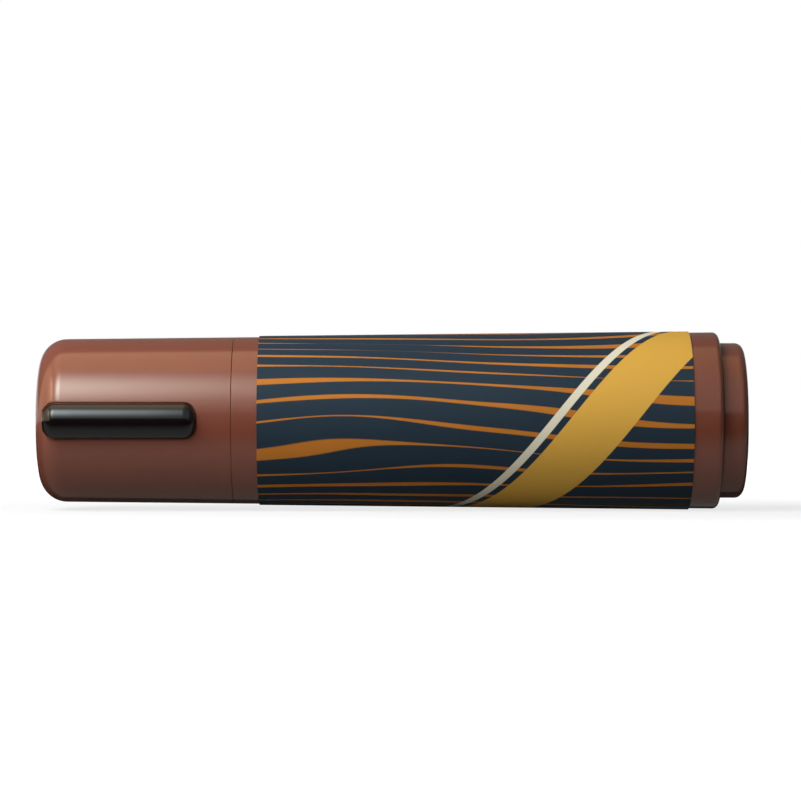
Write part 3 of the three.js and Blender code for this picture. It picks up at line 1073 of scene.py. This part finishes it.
@dataclass
class PocketClip(SubAssembly):
    """Black pocket clip: a half-round arm on a root that a tang holds in the cap."""

    cap: Cap
    base: float = 11.54
    back: float = 13.54
    belly: float = 0.1
    end_length: float = 1.95
    end_power: float = 2.4
    root_reach: float = 0.25
    root_dome: float = 1.9
    tip_dome: float = 2.2
    seat: float = 0.3
    root_length: float = 6.2
    nub_radius: float = 0.8
    nub_foot: float = 11.3
    nub_width: float = 3.2
    tang_length: float = 2.4
    tang_width: float = 3.0
    tang_foot: float = 9.6
    ring_points: int = 56
    end_steps: int = 12
    first_step: float = 0.2
    straight_steps: int = 6
    end_height: float = 0.3
    pad_back: float = 0.15
    pad_overlap: float = 0.5
    pad_inset: float = 0.2
    tang_overlap: float = 0.4
    tang_corner: float = 0.3
    nub_from_end: float = 0.4
    nub_roundness: float = 0.98
    sharp_degrees: float = 50.0

    @property
    def head(self) -> float:
        """Place of the fixed end along the axis."""
        return self.at.clip_root - self.root_reach

    def shape(self, place: float) -> tuple[float, float]:
        """Sizes the arm at a place along the axis, rounding it off at both ends.

        Args:
            place: The place, in millimetres.

        Returns:
            Half the arm's width and its height.
        """
        from_root = place - self.head
        from_tip = self.at.clip_tip - place
        near = min(from_root, from_tip, self.end_length)
        wide = (1 - (1 - near / self.end_length) ** self.end_power) ** (1 / self.end_power)
        dome = self.root_dome if from_root < from_tip else self.tip_dome
        close = min(from_root, from_tip, dome)
        high = self.end_height + (1 - self.end_height) * math.sqrt(1 - (1 - close / dome) ** 2)
        return self.cap.clip_width / 2 * wide, (self.back - self.base) * high

    def stations(self) -> list[float]:
        """Spaces the arm's rings, close together at the rounded ends.

        Returns:
            Their places along the axis, in millimetres.
        """
        shares = [(step + self.first_step) / self.end_steps for step in range(self.end_steps)]
        steps = [1 - math.cos(math.pi / 2 * share) for share in shares]
        root = [self.head + self.end_length * step for step in steps]
        tip = [self.at.clip_tip - self.end_length * step for step in reversed(steps)]
        count = self.straight_steps
        straight = [root[-1] + (tip[0] - root[-1]) * step / count for step in range(1, count)]
        return root + straight + tip

    def arm(self) -> Piece:
        """Draws a half-round ring out along the clip, sizing it at each place.

        Returns:
            The arm.
        """
        places = self.stations()
        wide, high = self.shape(places[0])
        middle = Vector((places[0], -self.base, 0)) * MM
        piece = begin(
            "clip_moulding",
            bpy.ops.mesh.primitive_circle_add,
            vertices=self.ring_points,
            radius=wide * MM,
            fill_type="NGON",
            location=middle,
            rotation=(0, math.pi / 2, 0),
        )
        settle(piece)
        with editing(piece):
            pick(piece, Element.POINT, lambda v: v.co.y > middle.y)
            bpy.ops.transform.resize(value=(1, self.belly / wide, 1), center_override=middle)
            pick(piece, Element.POINT, lambda v: v.co.y <= middle.y)
            bpy.ops.transform.resize(value=(1, high / wide, 1), center_override=middle)
            bpy.ops.mesh.select_mode(type="FACE")
            bpy.ops.mesh.select_all(action="SELECT")
            for here, there in zip(places, places[1:]):
                new_wide, new_high = self.shape(there)
                step = ((there - here) * MM, 0, 0)
                bpy.ops.mesh.extrude_region_move(TRANSFORM_OT_translate={"value": step})
                middle = Vector((there, -self.base, 0)) * MM
                ratio = (1, new_high / high, new_wide / wide)
                bpy.ops.transform.resize(value=ratio, center_override=middle)
                wide, high = new_wide, new_high
            bpy.ops.mesh.select_all(action="SELECT")
            bpy.ops.mesh.normals_make_consistent(inside=False)
        return piece

    def root(self) -> Piece:
        """Makes the root pad, whose underside follows the cap's crown.

        Returns:
            The pad.
        """
        half = self.cap.clip_width / 2 - self.pad_inset
        low = (self.head + self.pad_back, -self.base - self.pad_overlap, -half)
        high = (self.at.clip_root + self.root_length, -self.tang_foot, half)
        pad = slab("clip_root", low, high, self.end_length - self.seat, along=1)
        work(pad, self.cap.shell_core("crown_seat", self.seat), Cut.AWAY)
        return pad

    def tang(self) -> Piece:
        """Makes the tang that goes through the cap's wall.

        Returns:
            The tang.
        """
        middle = self.at.crown + self.cap.slot_from_crown
        low = (middle - self.tang_length / 2, -self.base - self.tang_overlap, -self.tang_width / 2)
        high = (middle + self.tang_length / 2, -self.tang_foot, self.tang_width / 2)
        return slab("clip_tang", low, high, self.tang_corner, along=1)

    def nub(self) -> Piece:
        """Makes the grip nub under the free end, a bar across the arm with rounded ends.

        Returns:
            The nub.
        """
        middle = self.at.clip_tip - self.end_length - self.nub_from_end
        height = -self.nub_foot - self.nub_radius
        low = (middle - self.nub_radius, height - self.nub_radius, -self.nub_width / 2)
        high = (middle + self.nub_radius, height + self.nub_radius, self.nub_width / 2)
        return slab("clip_nub", low, high, self.nub_radius * self.nub_roundness, along=2)

    def clip(self, finish: Material) -> None:
        """Joins arm, root, tang and nub.

        Args:
            finish: Its material.
        """
        piece = self.arm()
        for add_on in (self.root(), self.tang(), self.nub()):
            work(piece, add_on, Cut.JOIN)
        smooth(piece, self.sharp_degrees)
        self.dress(piece, finish, "clip", "clip", "black_plastic")


@dataclass
class Point(SubAssembly):
    """Nib holder and nib, which show when the cap is off."""

    tube_radius: float = 5.865
    cone_from_tube: float = 4.6
    flange_from_tube: float = 6.8
    flange_radius: float = 9.7
    skirt_radius: float = 8.65
    skirt_wall: float = 1.2
    vent_width: float = 1.2
    vent_depth: float = 0.7
    fit: float = 0.05
    tip_thickness: float = 2.0
    bevel_length: float = 3.2
    slant: float = 2.6
    nib_corner: float = 0.8
    vent_corner: float = 0.3
    tool_reach: float = 1.0
    felt_edge: float = 0.22
    felt_edge_angle: float = 0.35
    felt_degrees: float = 40.0

    def holder(self, finish: Material) -> None:
        """Turns the nib holder and cuts the nib's slot and the vents.

        Args:
            finish: Its material.
        """
        at = self.at
        cone = at.tube_front + self.cone_from_tube
        flange = at.tube_front + self.flange_from_tube
        inner = self.skirt_radius - self.skirt_wall
        piece = turn("nib_holder_moulding", [
            Corner(at.tube_front, 0),
            Corner(at.tube_front, self.tube_radius, 0.5),
            Corner(cone, self.tube_radius, 0.5),
            Corner(flange, self.flange_radius, 0.3),
            Corner(at.neck_front - self.fit, self.flange_radius, 0.15),
            Corner(at.neck_front - self.fit, self.skirt_radius, 0.1),
            Corner(at.holder_rear, self.skirt_radius, 0.25),
            Corner(at.holder_rear, inner, 0.2),
            Corner(at.neck_front, inner, 0.4),
            Corner(at.neck_front, 0),
        ])
        half_y, half_z = [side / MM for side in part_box("nib")[1].yz]
        ahead, behind = at.tube_front - self.tool_reach, at.neck_front + self.tool_reach
        low = (ahead, -half_y - self.fit, -half_z - self.fit)
        high = (behind, half_y + self.fit, half_z + self.fit)
        work(piece, slab("slot_tool", low, high, self.nib_corner, along=0), Cut.AWAY)
        reach = half_y + self.fit + self.vent_depth
        low = (ahead, -reach, -self.vent_width / 2)
        high = (behind, reach, self.vent_width / 2)
        work(piece, slab("vent_tool", low, high, self.vent_corner, along=0), Cut.AWAY)
        smooth(piece)
        self.dress(piece, finish, "nib_holder", "barrel", "natural_plastic")

    def nib(self, finish: Material) -> None:
        """Cuts the felt bar to a slanted, bevelled chisel and softens its edges.

        Args:
            finish: Its material.
        """
        low, high = [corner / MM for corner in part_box("nib")]
        piece = slab("felt_nib", low, high, self.nib_corner, along=0)
        run = Vector((self.slant, 0, high.z - low.z))
        slant_normal = Vector((-run.z, 0, -run.x)).normalized()
        inset = (high.y - low.y - self.tip_thickness) / 2
        with editing(piece, Element.FACE):
            bpy.ops.mesh.select_all(action="SELECT")
            bpy.ops.mesh.bisect(
                plane_co=Vector((low.x, 0, high.z)) * MM,
                plane_no=slant_normal,
                use_fill=True,
                clear_outer=True,
            )
            for side in (-1, 1):
                bpy.ops.mesh.select_all(action="SELECT")
                bpy.ops.mesh.bisect(
                    plane_co=Vector((low.x, side * self.tip_thickness / 2, 0)) * MM,
                    plane_no=Vector((-inset, side * self.bevel_length, 0)).normalized(),
                    use_fill=True,
                    clear_outer=True,
                )
        apply_modifier(
            piece,
            "BEVEL",
            width=self.felt_edge * MM,
            segments=3,
            limit_method="ANGLE",
            angle_limit=self.felt_edge_angle,
        )
        smooth(piece, self.felt_degrees)
        self.dress(piece, finish, "nib", "barrel", "felt")


@dataclass(frozen=True)
class ReflectorCard:
    """A card that shows only in gloss: two opposite edges, its reach across them, and its light.

    Places are metres. Its light is a base with a soft bell round the hot point, and a card with
    neither is a black flag.
    """

    name: str
    lower: Sequence[float]
    upper: Sequence[float]
    reach: float
    base: float = 0.0
    strength: float = 0.0
    tint: Colour = (1.0, 1.0, 0.92, 1.0)
    hot: Sequence[float] = (0.0, 0.0, 0.0)
    spread: float = 1.0
    fade: float = 1.0


def over(elevation: float, radius: float, place: float = -0.05) -> tuple[float, float, float]:
    """Gives a point round the marker's axis, so many degrees up from the camera's side."""
    angle = math.radians(elevation)
    return place, -math.cos(angle) * radius, math.sin(angle) * radius


@dataclass
class Studio:
    """Pale floor, soft light and the camera at the photograph's angle."""

    pixels_per_mm: float = 7.01
    distance_mm: float = 509.0
    middle_mm: tuple[float, float] = (-48.74, 2.91)
    floor_size_m: float = 6.0
    sensor_mm: float = 36.0
    floor_grey: float = 0.22
    near_glow: float = 0.76
    room_light: float = 0.12
    table: float = -0.01268
    pool_middle: float = -0.05
    pool_squeeze: float = 0.4
    pool_near: float = 0.02
    pool_far: float = 0.1
    floor_gap_mm: float = 0.02
    near_clip_m: float = 0.01

    def camera(self) -> None:
        """Places a level camera that looks along +Y."""
        across, up = self.middle_mm
        place = Vector((across, -self.distance_mm, up)) * MM
        level = (math.pi / 2, 0, 0)
        seen = begin("Camera", bpy.ops.object.camera_add, location=place, rotation=level)
        seen.data.sensor_width = self.sensor_mm
        seen.data.lens = self.sensor_mm * self.pixels_per_mm * self.distance_mm / PHOTO_WIDTH
        seen.data.clip_start = self.near_clip_m
        bpy.context.scene.camera = seen

    def seen_or_mirrored(self, tree: bpy.types.NodeTree) -> Socket:
        """Tells rays of the camera, reflections and clear pieces from light's own rays.

        Args:
            tree: The node tree that takes the nodes.

        Returns:
            1 for those rays and 0 for all others.
        """
        path = add_node(tree, "ShaderNodeLightPath", {})
        shown = path["Is Camera Ray"]
        for name in ("Is Glossy Ray", "Is Transmission Ray"):
            shown = add_node(tree, SUM, {0: shown, 1: path[name]}, operation="MAXIMUM")[0]
        return shown

    def floor(self, height: float) -> None:
        """Lays a matt floor that shows white, dims toward the marker and keeps its shadow.

        Args:
            height: The floor's height, in metres.
        """
        plane = begin(
            "studio_floor",
            bpy.ops.mesh.primitive_plane_add,
            size=self.floor_size_m,
            location=(0, 0, height),
        )
        settle(plane)
        paint = blank_material("matt_floor")
        tree = paint.node_tree
        place = add_node(tree, "ShaderNodeTexCoord", {})["Object"]
        centre = {0: place, 1: (self.pool_middle, 0, height)}
        middle = add_node(tree, VECTOR_SUM, centre, operation="SUBTRACT")[0]
        squeeze = {0: middle, 1: (self.pool_squeeze, 1, 1)}
        oval = add_node(tree, VECTOR_SUM, squeeze, operation="MULTIPLY")[0]
        away = add_node(tree, VECTOR_SUM, {0: oval}, operation="LENGTH")["Value"]
        level = {0: away, 1: self.pool_near, 2: self.pool_far, 3: self.near_glow, 4: 1.0}
        near = add_node(tree, "ShaderNodeMapRange", level, interpolation_type="SMOOTHSTEP")[0]
        shown = {0: self.seen_or_mirrored(tree), 1: near}
        lift = add_node(tree, SUM, shown, operation="MULTIPLY")[0]
        grey = self.floor_grey
        matt = add_node(tree, "ShaderNodeBsdfDiffuse", {"Color": (grey, grey, grey, 1)})[0]
        glow = add_node(tree, "ShaderNodeEmission", {"Strength": lift})[0]
        both = add_node(tree, "ShaderNodeAddShader", {0: matt, 1: glow})[0]
        add_node(tree, "ShaderNodeOutputMaterial", {"Surface": both})
        plane.data.materials.append(paint)
        plane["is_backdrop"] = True

    def sky(self) -> None:
        """Fills the room with dim light and shows it white behind the marker."""
        world = bpy.data.worlds.new("studio_room")
        bpy.context.scene.world = world
        world.use_nodes = True
        tree = world.node_tree
        tree.nodes.clear()
        level = {0: self.seen_or_mirrored(tree), 3: self.room_light, 4: 1.0}
        strength = add_node(tree, "ShaderNodeMapRange", level)[0]
        white = {"Color": (1, 1, 1, 1), "Strength": strength}
        glow = add_node(tree, "ShaderNodeBackground", white)[0]
        add_node(tree, "ShaderNodeOutputWorld", {"Surface": glow})

    def hang(self, card: ReflectorCard) -> None:
        """Hangs a card that only reflections see.

        Args:
            card: Where the card hangs and how it shines.
        """
        lower, upper = Vector(card.lower), Vector(card.upper)
        rise = upper - lower
        across = Vector((0, 1, 0)) if abs(rise.z) > ALIGNED * rise.length else Vector((1, 0, 0))
        plane = begin(card.name, bpy.ops.mesh.primitive_plane_add, size=1)
        plane.scale = (card.reach, rise.length, 1)
        turned = Matrix((across, rise.normalized(), across.cross(rise).normalized())).transposed()
        plane.rotation_euler = turned.to_euler()
        plane.location = (lower + upper) / 2
        settle(plane)
        paint = blank_material(card.name)
        tree = paint.node_tree
        place = add_node(tree, "ShaderNodeTexCoord", {})["Object"]
        off = add_node(tree, VECTOR_SUM, {0: place, 1: card.hot}, operation="SUBTRACT")[0]
        sharp = {0: off, 1: (1 / card.spread, 1 / card.fade, 1 / card.fade)}
        scaled = add_node(tree, VECTOR_SUM, sharp, operation="MULTIPLY")[0]
        far = {0: scaled, 1: scaled}
        square = add_node(tree, VECTOR_SUM, far, operation="DOT_PRODUCT")["Value"]
        fall = add_node(tree, SUM, {0: square, 1: -0.5}, operation="MULTIPLY")[0]
        bell = add_node(tree, SUM, {0: fall}, operation="EXPONENT")[0]
        shine = {0: bell, 1: card.strength, 2: card.base}
        power = add_node(tree, SUM, shine, operation="MULTIPLY_ADD")[0]
        glow = add_node(tree, "ShaderNodeEmission", {"Color": card.tint, "Strength": power})[0]
        add_node(tree, "ShaderNodeOutputMaterial", {"Surface": glow})
        plane.data.materials.append(paint)
        plane.visible_camera = False
        plane.visible_diffuse = False
        plane.visible_shadow = False
        plane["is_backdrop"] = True

    def lamp(
        self, name: str, place: Sequence[float], aim: Sequence[float], size: float, watts: float
    ) -> None:
        """Hangs a soft lamp that lights surfaces but doesn't show in their gloss.

        Args:
            name: The lamp's name.
            place: Where it hangs, in metres.
            aim: The point that it faces, in metres.
            size: Its side, in metres.
            watts: Its power.
        """
        light = begin(name, bpy.ops.object.light_add, type="AREA", location=place)
        light.data.size = size
        light.data.energy = watts
        light.rotation_euler = (Vector(aim) - Vector(place)).to_track_quat("-Z", "Y").to_euler()
        light.visible_camera = False
        light.visible_glossy = False

    def build(self) -> None:
        """Sets the camera, the floor, the room, the cards and the lamps."""
        self.camera()
        self.floor(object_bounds()[0].z - self.floor_gap_mm * MM)
        self.sky()
        warm = (1.0, 0.72, 0.44, 1.0)
        key_tint = (0.97, 1.05, 0.94, 1.0)
        table = self.table
        cards = (
            ReflectorCard("front_flag", (-0.05, -0.64, table), over(27, 0.64), 1.7),
            ReflectorCard("floor_flag", (-0.05, -0.64, table), (-0.05, -0.08, table), 1.7),
            ReflectorCard(
                "under_card", (-0.05, -0.08, table), (-0.05, -0.002, table), 1.7,
                strength=0.5, hot=(0, -0.017, table), fade=0.0105,
            ),
            ReflectorCard(
                "key_card", over(12, 0.45), over(72, 0.45), 1.2,
                base=0.66, strength=21.5, tint=key_tint,
                hot=over(46, 0.45, -0.205), spread=0.057, fade=0.088,
            ),
            ReflectorCard(
                "top_card", over(72, 0.45), over(110, 0.45), 1.2,
                base=0.35, strength=2.1, tint=warm, hot=over(89, 0.45, -0.2), spread=0.15,
            ),
            ReflectorCard("back_flag", over(110, 0.5), over(171, 0.5), 1.7, base=0.2),
            ReflectorCard("right_flag", (0.4, 0, table), (0.4, 0, 0.6), 1.3, base=0.15),
            ReflectorCard(
                "left_card", (-0.4, -0.16, 0.01), (-0.4, -0.16, 0.38), 0.56,
                base=1.9, strength=10.0, tint=warm, hot=(-0.4, -0.29, 0.35), fade=0.11,
            ),
            ReflectorCard(
                "rear_flag", (-0.05, -0.002, table), (-0.05, 0.62, table), 1.7, base=0.03,
            ),
        )
        for card in cards:
            self.hang(card)
        self.lamp("key_lamp", (-0.185, -0.11, 0.15), (-0.06, 0, 0), 0.2, 0.62)
        self.lamp("fill_lamp", (-0.1, -0.36, 0.0), (-0.05, 0, 0), 0.2, 0.3)
        self.lamp("back_lamp", (-0.03, 0.42, 0.07), (-0.05, 0, 0), 0.2, 0.7)
        bpy.context.scene.view_settings.view_transform = "Standard"


def main() -> None:
    """Builds the marker's pieces and the studio."""
    logging.basicConfig(level=logging.INFO, format="%(name)s %(message)s")
    at = Stations.from_frame()
    brown = BrownPolypropylene()
    body = Body(at)
    body.barrel(brown)
    body.label(GrainLabel())
    body.plug(brown)
    cap = Cap(at)
    cap.shell(brown)
    cap.cup(SoftPolyethylene())
    PocketClip(at, cap).clip(BlackGlossPlastic())
    point = Point(at)
    point.holder(NaturalPlastic())
    point.nib(InkedFelt())
    for node, finish in (("ink_reservoir", BondedFibre()), ("reservoir_film", ClearFilm())):
        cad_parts[node].data.materials.clear()
        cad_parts[node].data.materials.append(finish.made)
        LOG.info("%s: solid of the frame in %s", node, finish.name)
    Studio().build()


if __name__ == "__main__":
    main()
